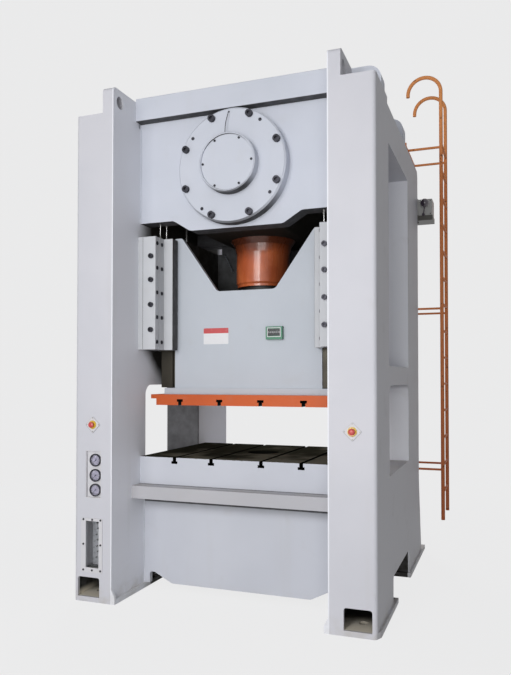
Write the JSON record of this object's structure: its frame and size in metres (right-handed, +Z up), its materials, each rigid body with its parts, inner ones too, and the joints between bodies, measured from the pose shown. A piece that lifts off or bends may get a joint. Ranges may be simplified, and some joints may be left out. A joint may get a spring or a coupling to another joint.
{
  "type": "straight-side mechanical stamping press",
  "caption": "Straight-side single-crank mechanical stamping press with a guided slide, a T-slotted bolster, a geared rear drive and a rear ladder.",
  "frame": {"origin": "centre of the four anchor holes, on the floor", "axes": "+X to the operator's right, +Y from the front to the back, +Z up"},
  "size_m": [2.42, 2.845, 4.445],
  "materials": {
    "frame_paint": "satin",
    "slide_paint": "satin",
    "orange_paint": "satin",
    "guard_paint": "satin",
    "ladder_paint": "satin",
    "ground_steel": "ground",
    "oiled_steel": "oiled",
    "bolt_steel": "blackened",
    "bronze": "machined",
    "iron": "machined",
    "bright_metal": "polished",
    "belt_rubber": "matt",
    "clear_pane": "clear",
    "dial_white": "matt",
    "yellow_plastic": "gloss",
    "red_plastic": "gloss",
    "black_plastic": "matt",
    "green_plastic": "matt",
    "aluminium": "satin"
  },
  "bodies": {
    "frame": {"left_upright": "frame_paint", "right_upright": "frame_paint", "crown_front_wall": "frame_paint", "crown_rear_wall": "frame_paint", "crown_top_plate": "frame_paint", "header_cover": "frame_paint", "oil_pan": "frame_paint", "crank_bearing_cap": "frame_paint", "hub_cover": "frame_paint", "frame_bolts": "bolt_steel", "crank_bushes": "bronze", "plunger_sleeve": "orange_paint", "gib_blocks": "frame_paint", "gib_liners": "bronze", "bed_front_plate": "frame_paint", "bed_rear_plate": "frame_paint", "bed_top_plate": "frame_paint", "bolster_plate": "oiled_steel", "gear_case": "guard_paint", "flywheel_guard": "orange_paint", "motor": "guard_paint", "v_belts": "belt_rubber", "counterbalance_cylinders": "aluminium", "gauge_panel": "frame_paint", "pressure_gauges": "dial_white", "gauge_lenses": "clear_pane", "inspection_frame": "frame_paint", "inspection_pane": "clear_pane", "air_unit": "aluminium", "estop_plates": "bright_metal", "estop_bases": "yellow_plastic", "valve_box": "guard_paint", "lube_lines": "bright_metal", "ladder_rails": "ladder_paint", "ladder_rungs": "ladder_paint", "ladder_brackets": "ladder_paint"},
    "crank": {"crankshaft": "ground_steel", "main_gear": "iron"},
    "rod": {"connecting_rod": "iron", "wrist_pin": "ground_steel"},
    "ram": {"plunger": "ground_steel"},
    "slide": {"slide_front_plate": "slide_paint", "slide_rear_plate": "slide_paint", "slide_side_plates": "slide_paint", "slide_base": "slide_paint", "slide_plate": "orange_paint", "slide_rails": "ground_steel", "adjusting_nut": "bronze", "stroke_counter": "green_plastic", "counterbalance_rods": "bright_metal"},
    "drive_shaft": {"pinion_shaft": "ground_steel", "clutch_brake": "iron"},
    "flywheel_body": {"flywheel": "iron"},
    "motor_rotor": {"motor_pulley": "iron"},
    "left_button": {"left_estop_button": "red_plastic"},
    "right_button": {"right_estop_button": "red_plastic"},
    "upper_pointer": {"upper_needle": "black_plastic"},
    "middle_pointer": {"middle_needle": "black_plastic"},
    "lower_pointer": {"lower_needle": "black_plastic"},
    "hand_lever": {"valve_lever": "black_plastic"}
  },
  "joints": [
    {"name": "crank_turn", "type": "hinge", "parent": "frame", "child": "crank", "pos_m": [0, -0.165, 3.135], "axis": [0, 1, 0], "range_deg": [0, 180]},
    {"name": "rod_swing", "type": "hinge", "parent": "crank", "child": "rod", "pos_m": [0, -0.165, 3.055], "axis": [0, 1, 0], "range_deg": [-180, 0]},
    {"name": "ram_stroke", "type": "slide", "parent": "frame", "child": "ram", "axis": [0, 0, 1], "range_m": [0, 0.16]},
    {"name": "die_height", "type": "slide", "parent": "ram", "child": "slide", "axis": [0, 0, 1], "range_m": [-0.1, 0]},
    {"name": "pinion_turn", "type": "hinge", "parent": "frame", "child": "drive_shaft", "pos_m": [-0.3, 0.5, 3.62671], "axis": [0, 1, 0], "range_deg": [-900, 0]},
    {"name": "flywheel_turn", "type": "hinge", "parent": "frame", "child": "flywheel_body", "pos_m": [-0.3, 0.705, 3.62671], "axis": [0, 1, 0], "continuous": true},
    {"name": "motor_turn", "type": "hinge", "parent": "frame", "child": "motor_rotor", "pos_m": [0.42, 0.705, 3.915], "axis": [0, 1, 0], "continuous": true},
    {"name": "left_estop_press", "type": "slide", "parent": "frame", "child": "left_button", "axis": [0, 1, 0], "range_m": [0, 0.005], "stiffness_N_per_m": 400, "springref_m": -0.002},
    {"name": "right_estop_press", "type": "slide", "parent": "frame", "child": "right_button", "axis": [0, 1, 0], "range_m": [0, 0.005], "stiffness_N_per_m": 400, "springref_m": -0.002},
    {"name": "upper_pointer_turn", "type": "hinge", "parent": "frame", "child": "upper_pointer", "pos_m": [-0.929, -1.15, 1.013], "axis": [0, 1, 0], "range_deg": [0, 270], "stiffness_Nm_per_rad": 0.002},
    {"name": "middle_pointer_turn", "type": "hinge", "parent": "frame", "child": "middle_pointer", "pos_m": [-0.929, -1.15, 0.904], "axis": [0, 1, 0], "range_deg": [0, 270], "stiffness_Nm_per_rad": 0.002},
    {"name": "lower_pointer_turn", "type": "hinge", "parent": "frame", "child": "lower_pointer", "pos_m": [-0.929, -1.15, 0.799], "axis": [0, 1, 0], "range_deg": [0, 270], "stiffness_Nm_per_rad": 0.002},
    {"name": "valve_lever_turn", "type": "hinge", "parent": "frame", "child": "hand_lever", "pos_m": [1.149, 0.938, 3.09], "axis": [0, 1, 0], "range_deg": [0, 90]}
  ],
  "couplings": [
    {"joint": "rod_swing", "follows": "crank_turn", "ratio": -1},
    {"joint": "ram_stroke", "follows": "crank_turn", "m_per_rad": 0.05093},
    {"joint": "pinion_turn", "follows": "crank_turn", "ratio": -5},
    {"joint": "motor_turn", "follows": "flywheel_turn", "ratio": 5.1}
  ]
}
